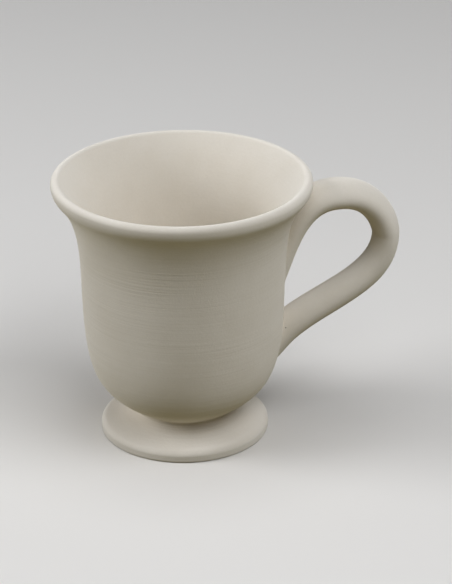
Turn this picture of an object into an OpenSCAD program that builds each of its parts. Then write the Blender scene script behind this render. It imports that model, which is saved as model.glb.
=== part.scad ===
// Unglazed footed mug, fired from thrown and pulled clay pieces that are joined with slip.
// Millimetres. Z is up, the table is z = 0, the bowl turns about Z and the handle points along +X.

/* [Bowl] */
// Outer diameter across the rim
rim_d = 102; // [98:1:108]
// Height from the table to the top of the rim
height = 108.3; // [104:0.1:114]
// Outer diameter of the upright wall
waist_d = 80.3; // [78:0.1:84]
// Height at which the wall stands upright
waist_z = 62; // [59:0.5:65]
// Thickness of the wall and of the rounded lip
wall = 4.2; // [3.4:0.1:5]
// Thickness of the floor
floor_t = 8; // [6:0.1:10]
// Diameter of the flat middle of the floor
floor_d = 27; // [20:1:32]
// Depth of the turned-over lip below the top of the rim
lip_h = 7.4; // [6:0.1:9]
// How far the lip stands out past the end of the flare
lip_out = 2.5; // [1.8:0.1:3.2]
// Slope of the flare where it meets the lip, in degrees
flare_slope = 50; // [45:1:60]
// Slope of the underside where it leaves the foot, in degrees
belly_slope = 30; // [25:1:37]

/* [Foot] */
// Outer diameter of the foot on the table
foot_d = 67.2; // [63:0.1:72]
// Height of the foot up to its joint
foot_h = 9.7; // [8.2:0.1:11.7]
// Diameter of the neck, where foot and bowl meet
neck_d = 38; // [35:0.5:41]
// Height of the foot's outer edge up to its shoulder
edge_h = 4.8; // [4.2:0.1:5.6]
// Rounding along the bottom of that edge
edge_r = 0.8; // [0.4:0.1:1.2]
// Width of the soft shoulder at the top of that edge
shoulder_w = 2.2; // [1.4:0.1:3.4]
// Width of the flat ring that stands on the table
land_w = 6; // [4:0.1:8]
// Width of the joint ring at the top of the foot
seat_w = 6; // [5:0.1:7.5]

/* [Handle] */
// Width of the handle's oval section, from the outermost point of the loop to the lower end
handle_w = 15; // [12:0.1:18]
// Extra width from the top of the loop to the upper end
upper_flare = 4; // [2:0.1:6]
// Thickness of the handle's oval section at the outermost point of the loop
handle_t = 10.7; // [9:0.1:11.5]
// Extra thickness from the top of the loop to the upper end
upper_swell = 1.3; // [0.5:0.1:5]
// Extra thickness at the lower end
lower_swell = 1.6; // [0.5:0.1:2.5]
// How far the loop stands out from the wall
handle_out = 47.5; // [44:0.1:52]
// How far the top of the loop lies below the rim
handle_drop = 6.2; // [4:0.1:8]
// Distance of the top of the loop from the wall
crown_out = 21.8; // [20:0.1:25]
// Depth of the loop's outermost point below its top
nose_drop = 24.7; // [23:0.1:28]
// Depth at which the middle of the upper end enters the wall, below the top of the loop
upper_drop = 29.2; // [25:0.1:32]
// Slope of the upper end, in degrees
upper_slope = 70; // [66:0.1:73]
// Depth at which the middle of the lower end enters the wall, below the top of the loop
lower_drop = 65.9; // [63:0.1:68]
// Slope of the lower end, in degrees
lower_slope = 48; // [44:1:49]

/* [Slip joints] */
// Thickness of the slip between two joined pieces
slip_t = 0.6; // [0.4:0.1:0.8]
// Depth of the scored rings that key the foot joint
score_depth = 0.5; // [0.3:0.1:0.8]
// Width of one scored ring
score_w = 0.8; // [0.5:0.1:1]
// Number of scored rings on each face
score_count = 3; // [2:1:4]

/* [Part] */
// Piece to draw

/* [Hidden] */
$fn = 160;
clay = [0.80, 0.77, 0.70];
slip_clay = [0.76, 0.73, 0.66];

rim_r = rim_d / 2;
waist_r = waist_d / 2;
lip_r = wall / 2;
neck_r = neck_d / 2;
foot_r = foot_d / 2;
base_z = foot_h + slip_t;
floor_z = base_z + floor_t;
seat_r = neck_r - seat_w;
land_r = foot_r - edge_r - land_w;

// Lengths of the tangents that shape the bowl's outside
belly_pull = 20.85;
waist_drop = 34.2;
waist_rise = 11.9;
flare_pull = 13.2;
lip_pull = 2.3;
waist_slope = 88.7;
steps = 14;
lip_steps = 6;

// Point at a slope in degrees and a distance from p
function away(p, slope, d) = p + d * [cos(slope), sin(slope)];

// Points of a cubic curve, without its first point
function curve(a, b, c, d, n) = [
    for (i = [1:n])
        let (t = i / n, u = 1 - t)
            u * u * u * a + 3 * u * u * t * b + 3 * u * t * t * c + t * t * t * d
];

// Points of an arc about c, without its first point
function arc(c, r, from, to, n) = [
    for (i = [1:n])
        away(c, from + (to - from) * i / n, r)
];

// Side direction of the line through the neighbours of point i
function side(p, i) =
    let (d = p[min(i + 1, len(p) - 1)] - p[max(i - 1, 0)])
        [d.y, -d.x] / norm(d);

neck = [neck_r, base_z];
waist = [waist_r, waist_z];
flare = [rim_r - lip_out, height - lip_h];
lip = [rim_r - lip_r, height - lip_r];
lip_edge = [rim_r, lip.y];

outside = concat(
    [neck],
    curve(neck, away(neck, belly_slope, belly_pull), away(waist, waist_slope, -waist_drop), waist, steps),
    curve(waist, away(waist, waist_slope, waist_rise), away(flare, flare_slope, -flare_pull), flare, steps),
    curve(flare, away(flare, flare_slope, lip_pull), away(lip_edge, 90, -lip_pull), lip_edge, lip_steps)
);

// Inside of the bowl: the lip rolls over into the flare, then the wall runs down and sweeps into the floor
floor_edge = [floor_d / 2, floor_z];
floor_pull = 17;
inner_drop = 32;
inner_rise = 14;
inner_pull = 18;
inner_waist = waist - [wall, 0];
lip_turn = flare_slope + 90;
inner_lip = away(lip, lip_turn, lip_r);
inside = concat(
    arc(lip, lip_r, 0, 90, lip_steps),
    arc(lip, lip_r, 90, lip_turn, lip_steps),
    curve(inner_lip, away(inner_lip, flare_slope, -inner_pull), away(inner_waist, waist_slope, inner_rise),
        inner_waist, steps),
    curve(inner_waist, away(inner_waist, waist_slope, -inner_drop), floor_edge + [floor_pull, 0],
        floor_edge, steps)
);

// Solid of revolution inside the bowl's outer surface, grown by t
module bowl_body(t) {
    grown = [for (i = [0:len(outside) - 1]) outside[i] + t * side(outside, i)];
    rotate_extrude()
        polygon(concat([[0, grown[0].y]], grown, [[0, lip_edge.y]]));
}

// V-shaped rings scored into a joint face at height z, up or down
module scores(z, way) {
    pitch = seat_w / (score_count + 1);
    rotate_extrude()
        for (i = [1:score_count])
            translate([seat_r + i * pitch, z])
                polygon([[-score_w / 2, 0], [score_w / 2, 0], [0, way * score_depth]]);
}

module bowl() {
    color(clay)
        difference() {
            rotate_extrude()
                polygon(concat([[0, base_z]], outside, inside, [[0, floor_z]]));
            scores(base_z, 1);
        }
}

edge_mid = [foot_r - edge_r, edge_r];
edge_foot = [edge_mid.x, 0];
edge_side = [foot_r, max(edge_h - shoulder_w, edge_r + 0.2)];
shoulder = [foot_r - shoulder_w, edge_h];
edge_pull = 0.9;
shoulder_pull = 1.4;
cove_slope = 168;
cove_pull = 5;
crease_slope = 142;
crease_pull = 4;
foot_top = [neck_r, foot_h];
foot_seat = [seat_r, foot_h];
land_edge = [land_r, 0];
hollow_slope = 110;
hollow_pull = 5;

module foot() {
    profile = concat(
        [edge_foot],
        arc(edge_mid, edge_r, -90, 0, lip_steps),
        [edge_side],
        curve(edge_side, edge_side + [0, edge_pull], away(shoulder, cove_slope, -shoulder_pull),
            shoulder, lip_steps),
        curve(shoulder, away(shoulder, cove_slope, cove_pull), away(foot_top, crease_slope, -crease_pull),
            foot_top, steps),
        [foot_seat],
        curve(foot_seat, foot_seat - [0, hollow_pull], away(land_edge, hollow_slope, hollow_pull),
            land_edge, steps)
    );
    color(clay)
        difference() {
            rotate_extrude()
                polygon(profile);
            scores(foot_h, -1);
        }
}

module foot_slip() {
    color(slip_clay)
        union() {
            rotate_extrude()
                translate([seat_r, foot_h])
                    square([seat_w, slip_t]);
            scores(base_z, 1);
            scores(foot_h, -1);
        }
}

// Middle line of the handle, from inside the wall at the upper end to inside it at the lower end
handle_top = height - handle_drop;
handle_reach = waist_r + handle_out;
ring_steps = 14;
section_steps = 28;
root_run = 16;
root_step = 1;
upper_pull = 17.2;
crown_in = 11.1;
crown_pull = 16.7;
nose_rise = 2.7;
nose_fall = 21.8;
lower_pull = 20.5;
crown = [waist_r + crown_out, handle_top - (handle_t + upper_swell) / 2];
nose = [handle_reach - handle_t / 2, handle_top - nose_drop];
upper = [waist_r - wall / 3, handle_top - upper_drop];
lower = [upper.x - root_step, handle_top - lower_drop];
middle = concat(
    [away(upper, upper_slope, -root_run), upper],
    curve(upper, away(upper, upper_slope, upper_pull), crown - [crown_in, 0], crown, ring_steps),
    curve(crown, crown + [crown_pull, 0], nose + [0, nose_rise], nose, ring_steps),
    curve(nose, nose - [0, nose_fall], away(lower, lower_slope, lower_pull), lower, 2 * ring_steps),
    [away(lower, lower_slope, -root_run)]
);
nose_ring = 1 + 2 * ring_steps;

// Share of the upper and of the lower end's form that the bar has at ring i, none at the nose
function upper_share(i) = max(0, min(1, (nose_ring - i) / ring_steps));
function lower_share(i) = max(0, min(1, (i - nose_ring) / (2 * ring_steps)));
function thick(i) = handle_t + upper_share(i) * upper_swell + lower_share(i) * lower_swell;
function wide(i) = handle_w + upper_share(i) * upper_flare;

rings = len(middle);

// Oval bar swept along the middle line
module handle_bar() {
    points = [
        for (i = [0:rings - 1])
            let (n = side(middle, i), t = thick(i), w = wide(i))
                for (j = [0:section_steps - 1])
                    let (a = 360 * j / section_steps, h = t / 2 * cos(a))
                        [middle[i].x + h * n.x, w / 2 * sin(a), middle[i].y + h * n.y]
    ];
    sides = [
        for (i = [0:rings - 2])
            for (j = [0:section_steps - 1])
                let (a = i * section_steps, b = a + section_steps, k = (j + 1) % section_steps)
                    [a + j, b + j, b + k, a + k]
    ];
    first = [for (j = [0:section_steps - 1]) j];
    last = [for (j = [section_steps - 1:-1:0]) (rings - 1) * section_steps + j];
    polyhedron(points, concat([first], sides, [last]), convexity = 6);
}

module handle() {
    color(clay)
        difference() {
            handle_bar();
            bowl_body(slip_t);
        }
}

// Slip between the handle's ends and the wall, above or below a height between the two
split_z = (upper.y + lower.y) / 2;
module handle_slip(low, high) {
    color(slip_clay)
        intersection() {
            handle_bar();
            difference() {
                bowl_body(slip_t);
                bowl_body(0);
            }
            translate([0, -rim_r, low])
                cube([handle_reach, rim_d, high - low]);
        }
}

module upper_handle_slip() handle_slip(split_z, height);

module lower_handle_slip() handle_slip(0, split_z);

bowl();
foot();
handle();
foot_slip();
upper_handle_slip();
lower_handle_slip();
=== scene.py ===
import math

import bmesh
import bpy
from mathutils import Matrix, Vector


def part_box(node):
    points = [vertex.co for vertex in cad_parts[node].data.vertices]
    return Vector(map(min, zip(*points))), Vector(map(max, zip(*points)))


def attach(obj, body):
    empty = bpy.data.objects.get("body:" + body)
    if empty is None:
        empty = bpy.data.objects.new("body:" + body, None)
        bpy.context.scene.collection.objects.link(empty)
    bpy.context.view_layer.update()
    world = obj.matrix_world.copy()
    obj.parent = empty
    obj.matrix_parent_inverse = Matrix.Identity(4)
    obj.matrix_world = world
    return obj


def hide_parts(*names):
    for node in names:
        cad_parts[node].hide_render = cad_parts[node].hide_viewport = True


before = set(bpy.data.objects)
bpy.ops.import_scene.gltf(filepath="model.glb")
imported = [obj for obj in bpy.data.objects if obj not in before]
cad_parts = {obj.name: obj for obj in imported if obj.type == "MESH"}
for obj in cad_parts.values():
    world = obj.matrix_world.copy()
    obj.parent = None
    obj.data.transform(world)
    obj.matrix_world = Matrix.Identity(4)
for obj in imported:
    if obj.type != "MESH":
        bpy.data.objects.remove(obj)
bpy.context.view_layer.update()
mm = 0.001
seamGap = 2e-6      # points nearer than this are one point
cornerAngle = math.radians(40)
print("frame loaded")


# Node trees

def plug(slot, value):
    if isinstance(value, Wire):
        slot.id_data.links.new(value.port, slot)
    else:
        slot.default_value = value


class Wire:
    def __init__(self, port):
        self.port = port

    def also(self, name):       # another output of the same node
        return Wire(self.port.node.outputs[name])

    def maths(self, operation, *others):
        node = self.port.id_data.nodes.new("ShaderNodeMath")
        node.operation = operation
        for slot, value in zip(node.inputs, (self, *others)):
            plug(slot, value)
        return Wire(node.outputs[0])

    def __add__(self, other):
        return self.maths("ADD", other)

    def __sub__(self, other):
        return self.maths("SUBTRACT", other)

    def __rsub__(self, other):
        return self.maths("MULTIPLY_ADD", -1.0, other)

    def __mul__(self, other):
        return self.maths("MULTIPLY", other)

    def __truediv__(self, other):
        return self.maths("DIVIDE", other)

    def __mod__(self, other):
        return self.maths("MODULO", other)

    __radd__ = __add__
    __rmul__ = __mul__


class Bench:
    def __init__(self, tree):
        self.tree = tree

    # one node: its type, then its settings, then its sockets; out is the output that is wanted
    def add(self, kind, settings=None, sockets=None, out=0):
        node = self.tree.nodes.new(kind)
        for key, value in (settings or {}).items():
            setattr(node, key, value)
        for key, value in (sockets or {}).items():
            plug(node.inputs[key], value)
        return Wire(node.outputs[out]) if node.outputs else node

    def span(self, value, low, high, toLow=0.0, toHigh=1.0):
        return self.add("ShaderNodeMapRange", sockets={
            "Value": value, "From Min": low, "From Max": high, "To Min": toLow, "To Max": toHigh})

    def vector(self, operation, first, second):
        return self.add("ShaderNodeVectorMath", {"operation": operation}, {0: first, 1: second})

    def scaled(self, vector, factor):
        return self.add("ShaderNodeVectorMath", {"operation": "SCALE"}, {"Vector": vector, "Scale": factor})


def newTree(name, inputs):
    tree = bpy.data.node_groups.new(name, "GeometryNodeTree")
    tree.interface.new_socket("Geometry", in_out="INPUT", socket_type="NodeSocketGeometry")
    for label, kind in inputs.items():
        tree.interface.new_socket(label, in_out="INPUT", socket_type="NodeSocket" + kind)
    tree.interface.new_socket("Geometry", in_out="OUTPUT", socket_type="NodeSocketGeometry")
    source = tree.nodes.new("NodeGroupInput")
    return tree, Bench(tree), {port.name: Wire(port) for port in source.outputs}


# a sheet of faces, each point known by its row and by its share of a full turn
def wrappedSheet(bench, around, rows):
    sheet = bench.add("GeometryNodeMeshGrid", sockets={
        "Size X": 1.0, "Size Y": 1.0, "Vertices X": around + 1, "Vertices Y": rows})
    number = bench.add("GeometryNodeInputIndex")
    row = number % rows
    return sheet, row, (number - row) / rows / around


# the end of every tree: seams closed, smooth but for the corners, real faces in their clay
def closeTree(bench, body, clay):
    body = bench.add("GeometryNodeMergeByDistance", sockets={"Geometry": body, "Distance": seamGap})
    body = bench.add("GeometryNodeSetShadeSmooth", sockets={"Geometry": body})
    corner = bench.add("GeometryNodeInputMeshEdgeAngle").maths("GREATER_THAN", cornerAngle)
    body = bench.add("GeometryNodeSetShadeSmooth", {"domain": "EDGE"}, {
        "Geometry": body, "Selection": corner, "Shade Smooth": False})
    body = bench.add("GeometryNodeRealizeInstances", sockets={"Geometry": body})
    body = bench.add("GeometryNodeSetMaterial", sockets={"Geometry": body, "Material": clay})
    bench.add("NodeGroupOutput", sockets={"Geometry": body})


def linked(thing):
    bpy.context.scene.collection.objects.link(thing)
    return thing


def runTree(name, source, tree, values):
    modifier = source.modifiers.new("shape", "NODES")
    modifier.node_group = tree
    for item in tree.interface.items_tree:
        if item.name in values:
            modifier[item.identifier] = values[item.name]
    bpy.context.view_layer.update()
    depsgraph = bpy.context.evaluated_depsgraph_get()
    mesh = bpy.data.meshes.new_from_object(source.evaluated_get(depsgraph))
    source.modifiers.remove(modifier)
    bpy.data.objects.remove(source)
    mesh.name = name
    shell = bmesh.new()
    shell.from_mesh(mesh)
    if shell.calc_volume(signed=True) < 0:
        bmesh.ops.reverse_faces(shell, faces=shell.faces)
        shell.to_mesh(mesh)
    shell.free()
    return linked(bpy.data.objects.new(name, mesh))


# Outlines: lists of cubic stretches, each of four (distance from the axis, height) points in millimetres

def away(point, slope, run):
    angle = math.radians(slope)
    return (point[0] + run * math.cos(angle), point[1] + run * math.sin(angle))


def line(start, end):
    step = ((end[0] - start[0]) / 3, (end[1] - start[1]) / 3)
    return [start, (start[0] + step[0], start[1] + step[1]), (end[0] - step[0], end[1] - step[1]), end]


def arc(centre, radius, fromSlope, toSlope):
    pull = 4 / 3 * math.tan(math.radians(toSlope - fromSlope) / 4) * radius
    start, end = away(centre, fromSlope, radius), away(centre, toSlope, radius)
    return [start, away(start, fromSlope + 90, pull), away(end, toSlope - 90, pull), end]


def cubic(stretch, t):
    weights = ((1 - t) ** 3, 3 * t * (1 - t) ** 2, 3 * t * t * (1 - t), t ** 3)
    return tuple(sum(w * p[i] for w, p in zip(weights, stretch)) for i in (0, 1))


def outlineCurve(name, stretches, steps, radii=None):
    data = bpy.data.curves.new(name, "CURVE")
    data.dimensions = "3D"
    data.resolution_u = steps
    spline = data.splines.new("BEZIER")
    spline.bezier_points.add(len(stretches))
    for i, knot in enumerate(spline.bezier_points):
        after = stretches[i] if i < len(stretches) else None
        before = stretches[i - 1] if i > 0 else None
        here = after[0] if after else before[3]
        ahead, behind = after[1] if after else here, before[2] if before else here
        knot.handle_left_type = knot.handle_right_type = "FREE"
        knot.co, knot.handle_right, knot.handle_left = (
            Vector((r * mm, 0, z * mm)) for r, z in (here, ahead, behind))
        knot.radius = radii[i] * mm if radii else 1.0
    return linked(bpy.data.objects.new(name, data))


# Clay

clayFinish = {
    "pale": (0.845, 0.787, 0.678, 1.0),
    "warm": (0.800, 0.738, 0.622, 1.0),
    # painted shade: the colour that pits and the pore are darkened towards, for the shade inside them
    "pitShade": (0.26, 0.21, 0.15, 1.0),
    "slipTint": (0.975, 0.968, 0.955, 1.0),
    "cloud": 55.0,          # soft mottling, patches a metre
    "sand": 950.0,          # fine tooth
    "dust": 2600.0,         # finest tooth
    "toolRows": 1750.0,     # turning lines, a metre of height
    "toolRound": 14.0,      # how slowly a line changes round the piece
    "patches": 24.0,        # where the lines are faint or strong, patches a metre
    "faint": 0.65,
    "strong": 1.1,
    "streaks": 2.6,         # strokes round the handle
    "pits": 75.0,           # places for a pit, a metre
    "pitted": 0.94,         # share of the places that stay whole
    "toolHeight": 0.125,    # heights in millimetres
    "sandHeight": 0.05,
    "dustHeight": 0.02,
    "streakHeight": 0.25,
    "pitDepth": 0.12,
    "cloudShade": 1.2,      # how much of each shows in the colour
    "sandShade": 0.5,
    "dustShade": 0.3,
    "markShade": 0.9,
    "roughLow": 0.80,
    "roughHigh": 0.95,
    "specular": 0.25,
    "chalk": 0.6,
    "pinhole": (40.1, -6.7, 42.3),      # the one open pore, on the handle beside the wall
    "pinholeR": 0.34,
}


def clayMaterial(name, turned=False, pulled=False, tint=None):
    look = clayFinish
    material = bpy.data.materials.new(name)
    material.use_nodes = True
    material.node_tree.nodes.clear()
    bench = Bench(material.node_tree)
    spot = bench.add("ShaderNodeTexCoord", out="Object")

    def noise(place, scale, detail=2.0):
        return bench.add("ShaderNodeTexNoise", sockets={
            "Vector": place, "Scale": scale, "Detail": detail, "Roughness": 0.55}) - 0.5

    cloud = noise(spot, look["cloud"], 4.0)
    sand = noise(spot, look["sand"])
    dust = noise(spot, look["dust"])
    marks = 0.0
    if turned:
        # lines cut by the turning tool follow the height and fade in and out round the piece
        rings = bench.add("ShaderNodeMapping", sockets={
            "Vector": spot, "Scale": (look["toolRound"], look["toolRound"], look["toolRows"])})
        patches = bench.span(noise(spot, look["patches"]), -0.08, 0.12, look["faint"], look["strong"])
        tooled = bench.add("ShaderNodeAttribute", {"attribute_name": "tooled"}, out="Fac")
        marks = noise(rings, 1.0) * patches * tooled
    if pulled:
        # strokes of the wet hand run along the bar
        along = bench.add("ShaderNodeAttribute", {"attribute_name": "bar"}, out="Vector")
        marks = noise(along, look["streaks"], 3.0)

    cells = bench.add("ShaderNodeTexVoronoi", sockets={"Vector": spot, "Scale": look["pits"]}, out="Distance")
    chosen = bench.add("ShaderNodeSeparateColor", sockets={"Color": cells.also("Color")})
    rare = bench.span(chosen, look["pitted"] - 0.01, look["pitted"] + 0.01)
    pit = rare * bench.span(cells, 0.01, 0.024, 1.0, 0.0)
    if pulled:
        size = look["pinholeR"] * mm
        pore = bench.vector("DISTANCE", spot, tuple(mm * v for v in look["pinhole"])).also("Value")
        pit = pit.maths("MAXIMUM", bench.span(pore, size * 0.6, size, 1.6, 0.0))

    shade = cloud * look["cloudShade"] + sand * look["sandShade"] + dust * look["dustShade"]
    shade = bench.span(shade + marks * look["markShade"], -0.32, 0.32)
    colour = bench.add("ShaderNodeMix", {"data_type": "RGBA"}, {
        "Factor": shade, 6: look["warm"], 7: look["pale"]}, out=2)
    # pits and the open pore darkened in colour: painted shade inside them, beside their small bump depth
    colour = bench.add("ShaderNodeMix", {"data_type": "RGBA"}, {
        "Factor": pit * 0.5, 6: colour, 7: look["pitShade"]}, out=2)
    if tint:
        colour = bench.add("ShaderNodeMix", {"data_type": "RGBA", "blend_type": "MULTIPLY"}, {
            "Factor": 1.0, 6: colour, 7: tint}, out=2)

    height = sand * look["sandHeight"] + dust * look["dustHeight"] - pit * look["pitDepth"]
    height = height + marks * (look["toolHeight"] if turned else look["streakHeight"])
    relief = bench.add("ShaderNodeBump", sockets={"Strength": 1.0, "Distance": mm, "Height": height})
    rough = bench.span(sand + cloud, -0.4, 0.4, look["roughLow"], look["roughHigh"])
    shader = bench.add("ShaderNodeBsdfPrincipled", sockets={
        "Base Color": colour, "Roughness": rough, "Normal": relief,
        "Specular IOR Level": look["specular"], "Diffuse Roughness": look["chalk"]})
    bench.add("ShaderNodeOutputMaterial", sockets={"Surface": shader})
    return material


turnedClay = clayMaterial("turnedBisque", turned=True)
pulledClay = clayMaterial("pulledBisque", pulled=True)
slipClay = clayMaterial("slipBisque", tint=clayFinish["slipTint"])
print("clay mixed")


# The wheel: turns an outline into a solid, with the slight sway of a hand-turned piece

def wheelTree():
    tree, bench, given = newTree("wheel", {
        "Turns": "Int", "Sway": "Float", "Seed": "Float", "Tooled until": "Float", "Clay": "Material"})
    points = bench.add("GeometryNodeCurveToPoints", {"mode": "EVALUATED"}, {"Curve": given["Geometry"]})
    rows = bench.add("GeometryNodeAttributeDomainSize", {"component": "POINTCLOUD"}, {"Geometry": points})
    sheet, row, share = wrappedSheet(bench, given["Turns"], rows)
    outline = bench.add("GeometryNodeSampleIndex", {"data_type": "FLOAT_VECTOR"}, {
        "Geometry": points, "Value": bench.add("GeometryNodeInputPosition"), "Index": row})
    radius = bench.add("ShaderNodeSeparateXYZ", sockets={"Vector": outline}, out="X")
    height = radius.also("Z")
    turn = share * math.tau
    across, aside = turn.maths("COSINE"), turn.maths("SINE")
    spot = bench.add("ShaderNodeCombineXYZ", sockets={"X": across, "Y": aside, "Z": height * 25})
    sway = bench.add("ShaderNodeTexNoise", {"noise_dimensions": "4D"}, {
        "Vector": spot, "W": given["Seed"], "Scale": 0.9, "Detail": 1.0})
    radius = radius * (1 + (sway - 0.5) * given["Sway"])
    place = bench.add("ShaderNodeCombineXYZ", sockets={
        "X": radius * across, "Y": radius * aside, "Z": height})
    body = bench.add("GeometryNodeSetPosition", sockets={"Geometry": sheet, "Position": place})
    tooled = bench.span(row / rows, given["Tooled until"], given["Tooled until"] + 0.02, 1.0, 0.25)
    body = bench.add("GeometryNodeStoreNamedAttribute", {"data_type": "FLOAT"}, {
        "Geometry": body, "Name": "tooled", "Value": tooled})
    closeTree(bench, body, given["Clay"])
    return tree


wheel = wheelTree()


def turnPiece(name, stretches, form, clay):
    curve = outlineCurve(name + "Outline", stretches, form["steps"])
    return runTree(name, curve, wheel, {
        "Turns": form["turns"], "Sway": form["sway"], "Seed": form["seed"],
        "Tooled until": form["tooled"], "Clay": clay})


# Bowl

bowlLow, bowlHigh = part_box("bowl")
bowlForm = {
    "rimR": bowlHigh[0] / mm,
    "top": bowlHigh[2] / mm,
    "baseZ": bowlLow[2] / mm,
    "waist": (40.15, 62.0),
    "waistSlope": 88.7,
    "neckR": 19.0,
    "bellySlope": 30.0,
    "wall": 4.2,
    "floorT": 8.0,
    "floorR": 13.5,
    "lipH": 7.4,
    "lipOut": 2.5,
    "flareSlope": 50.0,
    "bellyPull": 20.85,     # pulls: how far each curve keeps its slope
    "waistDrop": 34.2,
    "waistRise": 11.9,
    "flarePull": 13.2,
    "lipPull": 2.3,
    "innerPull": 18.0,
    "innerRise": 14.0,
    "innerDrop": 32.0,
    "floorPull": 17.0,
    "turns": 224,
    "steps": 22,
    "sway": 0.002,
    "seed": 3.0,
    "tooled": 4 / 9,        # the inside, wiped smooth, comes after this share of the outline
}


def bowlOutside(form):
    neck, waist = (form["neckR"], form["baseZ"]), form["waist"]
    flare = (form["rimR"] - form["lipOut"], form["top"] - form["lipH"])
    edge = (form["rimR"], form["top"] - form["wall"] / 2)
    upright, slope = form["waistSlope"], form["flareSlope"]
    return [
        [neck, away(neck, form["bellySlope"], form["bellyPull"]),
         away(waist, upright, -form["waistDrop"]), waist],
        [waist, away(waist, upright, form["waistRise"]), away(flare, slope, -form["flarePull"]), flare],
        [flare, away(flare, slope, form["lipPull"]), away(edge, 90, -form["lipPull"]), edge],
    ]


def bowlInside(form):
    lipR, slope, upright = form["wall"] / 2, form["flareSlope"], form["waistSlope"]
    lip = (form["rimR"] - lipR, form["top"] - lipR)
    over = away(lip, slope + 90, lipR)
    waist = (form["waist"][0] - form["wall"], form["waist"][1])
    floor = (form["floorR"], form["baseZ"] + form["floorT"])
    return [
        arc(lip, lipR, 0, 90),
        arc(lip, lipR, 90, slope + 90),
        [over, away(over, slope, -form["innerPull"]), away(waist, upright, form["innerRise"]), waist],
        [waist, away(waist, upright, -form["innerDrop"]), (floor[0] + form["floorPull"], floor[1]), floor],
        line(floor, (0, floor[1])),
    ]


outside = bowlOutside(bowlForm)
neck = outside[0][0]
bowlOutline = [line((0, neck[1]), neck)] + outside + bowlInside(bowlForm)
bowl = turnPiece("thrownBowl", bowlOutline, bowlForm, turnedClay)
print("bowl thrown:", len(bowl.data.polygons), "faces")


# Foot

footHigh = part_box("foot")[1]
footForm = {
    "footR": footHigh[0] / mm,
    "top": footHigh[2] / mm,
    "edgeH": 4.8,
    "edgeR": 0.8,
    "shoulderW": 2.2,
    "coveSlope": 168.0,
    "creaseSlope": 142.0,
    "edgePull": 0.9,
    "shoulderPull": 1.4,
    "covePull": 5.0,
    "creasePull": 4.0,
    "landW": 6.0,
    "seatW": 6.0,
    "hollowSlope": 110.0,
    "hollowPull": 5.0,
    "turns": 192,
    "steps": 14,
    "sway": 0.002,
    "seed": 8.0,
    "tooled": 1.0,
}


def footOutline(form):
    footR, edgeR, slope = form["footR"], form["edgeR"], form["coveSlope"]
    middle = (footR - edgeR, edgeR)
    side = (footR, form["edgeH"] - form["shoulderW"])
    shoulder = (footR - form["shoulderW"], form["edgeH"])
    top, seat = (neck[0], form["top"]), (neck[0] - form["seatW"], form["top"])
    land = (footR - edgeR - form["landW"], 0.0)
    return [
        line(land, (middle[0], 0.0)),
        arc(middle, edgeR, -90, 0),
        line((footR, edgeR), side),
        [side, away(side, 90, form["edgePull"]), away(shoulder, slope, -form["shoulderPull"]), shoulder],
        [shoulder, away(shoulder, slope, form["covePull"]),
         away(top, form["creaseSlope"], -form["creasePull"]), top],
        line(top, seat),
        [seat, away(seat, 90, -form["hollowPull"]), away(land, form["hollowSlope"], form["hollowPull"]), land],
    ]


footCurve = footOutline(footForm)
foot = turnPiece("turnedFoot", footCurve, footForm, turnedClay)
print("foot turned:", len(foot.data.polygons), "faces")


# Slip at the foot joint, wiped into the crease between foot and bowl

footSlipForm = {
    "onFoot": 0.93,     # where the wiped edge lies along the foot's cove
    "onBelly": 0.02,    # and along the underside of the bowl
    "bed": 5.0,
    "sink": 0.25,
    "hollow": 0.66,     # how far the wiped face is drawn towards the crease
    "turns": 192,
    "steps": 10,
    "sway": 0.002,
    "seed": 8.0,
    "tooled": 1.0,
}


def footSlipOutline(form):
    low, high = cubic(footCurve[4], form["onFoot"]), cubic(outside[0], form["onBelly"])
    crease = (neck[0], (footForm["top"] + neck[1]) / 2)
    bed = (neck[0] - form["bed"], crease[1])
    lowIn, highIn = (low[0] - form["sink"], low[1]), away(high, 135, form["sink"])

    def towards(point):
        return tuple(p + (c - p) * form["hollow"] for p, c in zip(point, crease))

    return [
        [low, towards(low), towards(high), high],
        line(high, highIn),
        line(highIn, bed),
        line(bed, lowIn),
        line(lowIn, low),
    ]


footSlip = turnPiece("footSlip", footSlipOutline(footSlipForm), footSlipForm, slipClay)
print("foot slip wiped")


# Handle: an oval bar pulled along a loop and cut to the wall

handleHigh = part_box("handle")[1]
handleForm = {
    "reach": handleHigh[0] / mm,
    "top": handleHigh[2] / mm,
    "upperHalfWidth": handleHigh[1] / mm,
    "halfWidth": 7.5,
    "thick": 10.7,
    "upperSwell": 1.3,
    "lowerSwell": 1.6,
    "crownOut": 21.8,
    "noseDrop": 24.7,
    "upperDrop": 29.2,
    "upperSlope": 70.0,
    "lowerDrop": 65.9,
    "lowerSlope": 48.0,
    "rootRun": 16.0,
    "upperPull": 17.2,
    "crownIn": 11.1,
    "crownPull": 16.7,
    "noseRise": 2.7,
    "noseFall": 21.8,
    "lowerPull": 20.5,
    "flats": 0.4,       # the soft flats that the fingers leave along the upper half of the bar
    "rows": 180,
    "around": 80,
    "steps": 24,
    "sink": 0.25,       # how deep the ends are let into the wall
}


def handleLine(form):
    half, waistR = form["thick"] / 2, bowlForm["waist"][0]
    upperHalf, lowerHalf = half + form["upperSwell"] / 2, half + form["lowerSwell"] / 2
    rise, fall = form["upperSlope"], form["lowerSlope"]
    crown = (waistR + form["crownOut"], form["top"] - upperHalf)
    nose = (form["reach"] - half, form["top"] - form["noseDrop"])
    upper = (waistR - bowlForm["wall"] / 3, form["top"] - form["upperDrop"])
    lower = (upper[0] - 1, form["top"] - form["lowerDrop"])
    stretches = [
        line(away(upper, rise, -form["rootRun"]), upper),
        [upper, away(upper, rise, form["upperPull"]), away(crown, 180, form["crownIn"]), crown],
        [crown, away(crown, 0, form["crownPull"]), away(nose, 90, form["noseRise"]), nose],
        [nose, away(nose, 90, -form["noseFall"]), away(lower, fall, form["lowerPull"]), lower],
        line(lower, away(lower, fall, -form["rootRun"])),
    ]
    return stretches, [upperHalf, upperHalf, upperHalf, half, lowerHalf, lowerHalf]


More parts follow.
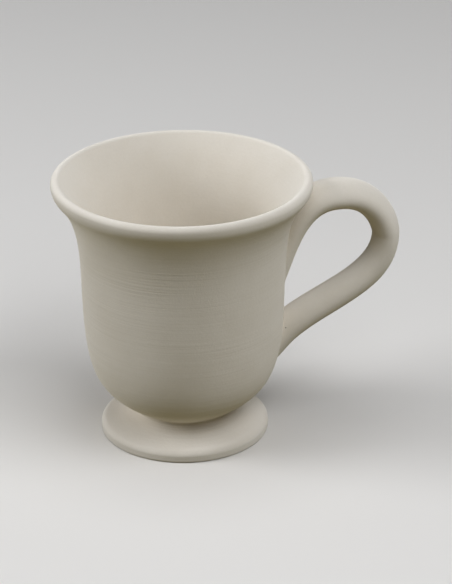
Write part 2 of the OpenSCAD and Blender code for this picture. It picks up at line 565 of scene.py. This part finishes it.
def stretchLength(stretch):
    points = [Vector(cubic(stretch, i / 40)) for i in range(41)]
    return sum((b - a).length for a, b in zip(points, points[1:]))


def pullTree():
    tree, bench, given = newTree("pull", {
        "Rows": "Int", "Around": "Int", "Upper half width": "Float", "Lower half width": "Float",
        "Taper start": "Float", "Taper end": "Float", "Flats": "Float", "Wall": "Object", "Clay": "Material"})
    rows = given["Rows"] + 2            # the first and the last row close the ends
    sheet, row, share = wrappedSheet(bench, given["Around"], rows)
    along = bench.span(row, 1.0, given["Rows"])
    solid = row.maths("GREATER_THAN", 0.5) * row.maths("LESS_THAN", rows - 1.5)
    half = bench.add("GeometryNodeInputRadius")
    place = bench.add("GeometryNodeSampleCurve", {
        "mode": "FACTOR", "data_type": "FLOAT", "use_all_curves": True}, {
        "Curves": given["Geometry"], "Value": half, "Factor": along}, out="Position")
    wide = bench.span(along, given["Taper start"], given["Taper end"],
                      given["Upper half width"], given["Lower half width"])
    out = bench.vector("CROSS_PRODUCT", (0, 1, 0), place.also("Tangent"))
    turn = share * math.tau
    across, aside = turn.maths("COSINE"), turn.maths("SINE")
    # fingers press the inner corners flat and the sides out, as far as the nose
    faded = bench.span(along, given["Taper end"], given["Taper end"] + 0.1, given["Flats"], 0.0)
    press = aside * ((turn * 2).maths("SINE") - (turn * 3).maths("SINE")) * faded
    beside = bench.add("ShaderNodeCombineXYZ", sockets={"Y": (wide + press) * aside * solid})
    reach = bench.scaled(out, (place.also("Value") + press) * across * solid)
    spot = bench.vector("ADD", bench.vector("ADD", place, reach), beside)
    bar = bench.add("GeometryNodeSetPosition", sockets={"Geometry": sheet, "Position": spot})
    strokes = bench.add("ShaderNodeCombineXYZ", sockets={"X": across, "Y": aside, "Z": along})
    bar = bench.add("GeometryNodeStoreNamedAttribute", {"data_type": "FLOAT_VECTOR"}, {
        "Geometry": bar, "Name": "bar", "Value": strokes})
    bar = bench.add("GeometryNodeMergeByDistance", sockets={"Geometry": bar, "Distance": seamGap})
    wall = bench.add("GeometryNodeObjectInfo", sockets={"Object": given["Wall"]}, out="Geometry")
    cut = bench.add("GeometryNodeMeshBoolean", {"operation": "DIFFERENCE", "solver": "EXACT"}, {
        "Mesh 1": bar, "Mesh 2": wall}, out="Mesh")
    closeTree(bench, cut, given["Clay"])
    return tree


# a solid just inside the bowl's outer surface, for cutting the handle's ends
def wallBody(sink):
    inner = [[(r - sink, z) for r, z in stretch] for stretch in outside]
    low, high = inner[0][0], inner[-1][3]
    stretches = [line((0, low[1]), low)] + inner + [line(high, (0, high[1]))]
    return turnPiece("wallBody", stretches, {**bowlForm, "sway": 0.0}, turnedClay)


loop, loopHalf = handleLine(handleForm)
lengths = [stretchLength(stretch) for stretch in loop]
wall = wallBody(handleForm["sink"])
loopCurve = outlineCurve("handleLine", loop, handleForm["steps"], radii=loopHalf)
handle = runTree("pulledHandle", loopCurve, pullTree(), {
    "Rows": handleForm["rows"], "Around": handleForm["around"],
    "Upper half width": handleForm["upperHalfWidth"] * mm, "Lower half width": handleForm["halfWidth"] * mm,
    "Taper start": sum(lengths[:2]) / sum(lengths), "Taper end": sum(lengths[:3]) / sum(lengths),
    "Flats": handleForm["flats"] * mm, "Wall": wall, "Clay": pulledClay})
bpy.data.objects.remove(wall)
print("handle pulled:", len(handle.data.polygons), "faces")


# Slip at the handle's roots, a collar that is wiped from the bar on to the wall

collarForm = {
    "around": 144,
    "across": 8,
    "upperWipe": 1.3,
    "lowerWipe": 1.1,
    "skin": 0.03,       # how far the collar's edges dip under the surfaces that they meet
    "bed": 0.6,
    "step": 0.02,       # how the bar is searched for the wall, in stretches of its middle line
    "fineStep": 0.004,
}
wallPoints = [cubic(stretch, i / 60) for stretch in outside for i in range(61)]


def wallRadius(z):
    for (r0, z0), (r1, z1) in zip(wallPoints, wallPoints[1:]):
        if z0 <= z <= z1 and z1 > z0:
            return r0 + (r1 - r0) * (z - z0) / (z1 - z0)
    return wallPoints[0][0] if z < wallPoints[0][1] else wallPoints[-1][0]


def wallNormal(point):
    slope = (wallRadius(point.z + 0.05) - wallRadius(point.z - 0.05)) / 0.1
    return (Vector((point.x, point.y, 0)).normalized() - Vector((0, 0, slope))).normalized()


# a point of the bar's surface: place counts the stretches of its middle line
def barPoint(place, turn):
    index = min(int(place), len(loop) - 1)
    t = place - index
    x, z = cubic(loop[index], t)
    ahead, behind = cubic(loop[index], min(t + 0.01, 1)), cubic(loop[index], max(t - 0.01, 0))
    out = Vector((0, 1, 0)).cross(Vector((ahead[0] - behind[0], 0, ahead[1] - behind[1])).normalized())
    half = loopHalf[index] + (loopHalf[index + 1] - loopHalf[index]) * t
    taper = min(max(place - 2, 0), 1)
    wide = handleForm["upperHalfWidth"] * (1 - taper) + handleForm["halfWidth"] * taper
    press = math.sin(turn) * (math.sin(2 * turn) - math.sin(3 * turn)) * handleForm["flats"] * (place < 3)
    return Vector((x, (wide + press) * math.sin(turn), z)) + out * (half + press) * math.cos(turn)


def buried(point):
    return math.hypot(point.x, point.y) < wallRadius(point.z)


# follows one line of the bar from the loop to where it enters the wall
def entry(turn, start, way):
    low, step = start, collarForm["step"] * way
    while not buried(barPoint(low + step, turn)):
        low += step
    high = low + step
    for _ in range(24):
        middle = (low + high) / 2
        low, high = (low, middle) if buried(barPoint(middle, turn)) else (middle, high)
    return low


# lines that guide a collar: on the bar, the seam, on the wall, and the three below them
def collarGuides(start, way, wipe):
    form = collarForm
    turns = [math.tau * i / form["around"] for i in range(form["around"])]
    places = [entry(turn, start, way) for turn in turns]
    seam = [barPoint(place, turn) for place, turn in zip(places, turns)]
    centre = sum(seam, Vector()) / len(seam)
    guides = [[] for _ in range(6)]
    for i, (place, turn) in enumerate(zip(places, turns)):
        joint, wallOut = seam[i], wallNormal(seam[i])
        up = (barPoint(place - 0.01 * way, turn) - joint).normalized()
        along = (seam[(i + 1) % len(seam)] - seam[i - 1]).normalized()
        outward = wallOut.cross(along).normalized()
        if outward.dot(joint - centre) < 0:
            outward.negate()
        run = wipe * (1 + max(0.0, -up.dot(outward)))       # a shallow meeting is wiped further
        back = place
        while (barPoint(back, turn) - joint).length < run:
            back -= form["fineStep"] * way
        onBar = barPoint(back, turn)
        barOut = (barPoint(back, turn + 0.02) - barPoint(back, turn - 0.02)).cross(up).normalized()
        if barOut.dot(onBar - barPoint(back, turn + math.pi)) < 0:
            barOut.negate()
        onWall = joint + outward * run
        reach = wallRadius(onWall.z) / math.hypot(onWall.x, onWall.y)
        onWall = Vector((onWall.x * reach, onWall.y * reach, onWall.z))
        below = wallNormal(onWall)
        points = (onBar - barOut * form["skin"], joint, onWall - below * form["skin"],
                  onWall - below * form["bed"], joint - wallOut * form["bed"], onBar - barOut * form["bed"])
        for guide, point in zip(guides, points):
            guide.append(point * mm)
    return guides


def collarTree():
    tree, bench, given = newTree("collar", {"Around": "Int", "Across": "Int", "Clay": "Material"})
    around, across = given["Around"], given["Across"]
    sheet, row, share = wrappedSheet(bench, around, across + 5)
    column = (share * around).maths("ROUND") % around
    spot = bench.add("GeometryNodeInputPosition")

    def guide(number):
        return bench.add("GeometryNodeSampleIndex", {"data_type": "FLOAT_VECTOR"}, {
            "Geometry": given["Geometry"], "Value": spot, "Index": around * number + column})

    t = row / across
    weights = ((1 - t) * (1 - t), 2 * t * (1 - t), t * t)
    fromBar, fromSeam, fromWall = (bench.scaled(guide(i), weight) for i, weight in enumerate(weights))
    face = bench.vector("ADD", bench.vector("ADD", fromBar, fromSeam), fromWall)
    bed = guide((row - across + 2) % 6)
    place = bench.add("GeometryNodeSwitch", {"input_type": "VECTOR"}, {
        "Switch": row.maths("GREATER_THAN", across + 0.5), "False": face, "True": bed})
    body = bench.add("GeometryNodeSetPosition", sockets={"Geometry": sheet, "Position": place})
    closeTree(bench, body, given["Clay"])
    return tree


collar = collarTree()


def wipeCollar(name, start, way, wipe):
    data = bpy.data.meshes.new(name + "Guides")
    data.from_pydata([point for guide in collarGuides(start, way, wipe) for point in guide], [], [])
    guides = linked(bpy.data.objects.new(name + "Guides", data))
    return runTree(name, guides, collar, {
        "Around": collarForm["around"], "Across": collarForm["across"], "Clay": slipClay})


upperSlip = wipeCollar("upperHandleSlip", 2.0, -1, collarForm["upperWipe"])
lowerSlip = wipeCollar("lowerHandleSlip", 3.0, 1, collarForm["lowerWipe"])
print("handle slip wiped")

for piece, node, slot in (
        (bowl, "bowl", "bisque"), (foot, "foot", "bisque"), (handle, "handle", "bisque"),
        (footSlip, "foot_slip", "slip"), (upperSlip, "upper_handle_slip", "slip"),
        (lowerSlip, "lower_handle_slip", "slip")):
    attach(piece, "root")
    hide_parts(node)


# Camera, at the photograph's angle

cameraForm = {
    "distance": 918.0,
    "height": 488.62,
    "handleTurn": 10.0,     # the handle is turned this far away from the camera
    "yaw": 1.0558,
    "pitch": 25.0977,
    "roll": -0.3525,
    "focal": 2559.19,       # in pixels of a frame with this long side
    "longSide": 584,
    "sensor": 36.0,
}


def placeCamera(form):
    yaw, pitch, roll = (math.radians(form[key]) for key in ("yaw", "pitch", "roll"))
    ahead = Vector((math.sin(yaw) * math.cos(pitch), math.cos(yaw) * math.cos(pitch), -math.sin(pitch)))
    right = Vector((math.cos(yaw), -math.sin(yaw), 0))
    up = right.cross(ahead)
    right, up = right * math.cos(roll) + up * math.sin(roll), up * math.cos(roll) - right * math.sin(roll)
    view = Matrix((right, up, -ahead)).transposed().to_4x4()
    view.translation = Vector((0, -form["distance"], form["height"])) * mm
    data = bpy.data.cameras.new("camera")
    data.sensor_width = form["sensor"]
    data.lens = form["focal"] / form["longSide"] * form["sensor"]
    camera = linked(bpy.data.objects.new("camera", data))
    camera.matrix_world = Matrix.Rotation(math.radians(-form["handleTurn"]), 4, "Z") @ view
    bpy.context.scene.camera = camera


placeCamera(cameraForm)


# Floor and light

floorForm = {
    "size": 8.0,
    "seen": (0.83, 0.79, 0.715, 1.0),
    "bounce": (0.225, 0.19, 0.085, 1.0),    # what the floor throws back on the object
}
lampForm = {
    # turn is counted from the camera towards the picture's right, rise from the floor
    "left": {"turn": 272, "rise": 27, "far": 1.4, "size": 0.75, "watts": 11.5},
    "right": {"turn": 60, "rise": 54, "far": 1.4, "size": 0.85, "watts": 7.2},
    "front": {"turn": 20, "rise": 46, "far": 1.4, "size": 0.75, "watts": 3.7},
    "top": {"turn": 0, "rise": 89, "far": 1.5, "size": 1.0, "watts": 5.4},
}
lampColour = (0.95, 0.99, 1.085)
lampAim = Vector((0, 0, 0.05))
worldForm = {"glow": (0.9, 0.92, 0.95, 1.0), "strength": 0.02, "seen": (0.74, 0.735, 0.72, 1.0)}


# two looks in one shader: what the camera sees, and what everything else gets
def seenOrNot(bench, seen, unseen):
    path = bench.add("ShaderNodeLightPath", out="Is Camera Ray")
    direct = path
    for ray in ("Is Glossy Ray", "Is Transmission Ray"):
        direct = direct.maths("MAXIMUM", path.also(ray))
    return bench.add("ShaderNodeMixShader", sockets={0: direct, 1: unseen, 2: seen})


def makeFloor(form):
    material = bpy.data.materials.new("paleFloor")
    material.use_nodes = True
    material.node_tree.nodes.clear()
    bench = Bench(material.node_tree)
    pale = bench.add("ShaderNodeBsdfDiffuse", sockets={"Color": form["seen"]})
    bounce = bench.add("ShaderNodeBsdfDiffuse", sockets={"Color": form["bounce"]})
    bench.add("ShaderNodeOutputMaterial", sockets={"Surface": seenOrNot(bench, pale, bounce)})
    disc = bmesh.new()
    bmesh.ops.create_circle(disc, cap_ends=True, segments=96, radius=form["size"])
    data = bpy.data.meshes.new("floor")
    disc.to_mesh(data)
    disc.free()
    data.materials.append(material)
    linked(bpy.data.objects.new("floor", data))


def makeLamp(name, form):
    turn, rise = math.radians(form["turn"] - cameraForm["handleTurn"]), math.radians(form["rise"])
    aside = Vector((math.sin(turn), -math.cos(turn), 0)) * math.cos(rise)
    way = aside + Vector((0, 0, math.sin(rise)))
    data = bpy.data.lights.new(name, "AREA")
    data.shape = "DISK"
    data.size = form["size"]
    data.energy = form["watts"]
    data.color = lampColour
    lamp = linked(bpy.data.objects.new(name, data))
    lamp.location = way * form["far"] + lampAim
    lamp.rotation_euler = (-way).to_track_quat("-Z", "Y").to_euler()


def makeWorld(form):
    world = bpy.data.worlds.new("studio")
    bpy.context.scene.world = world
    world.use_nodes = True
    world.node_tree.nodes.clear()
    bench = Bench(world.node_tree)
    glow = bench.add("ShaderNodeBackground", sockets={"Color": form["glow"], "Strength": form["strength"]})
    pale = bench.add("ShaderNodeBackground", sockets={"Color": form["seen"], "Strength": 1.0})
    bench.add("ShaderNodeOutputWorld", sockets={"Surface": seenOrNot(bench, pale, glow)})


makeFloor(floorForm)
for name, form in lampForm.items():
    makeLamp(name, form)
makeWorld(worldForm)
bpy.context.scene.view_settings.view_transform = "Standard"
print("stage set")
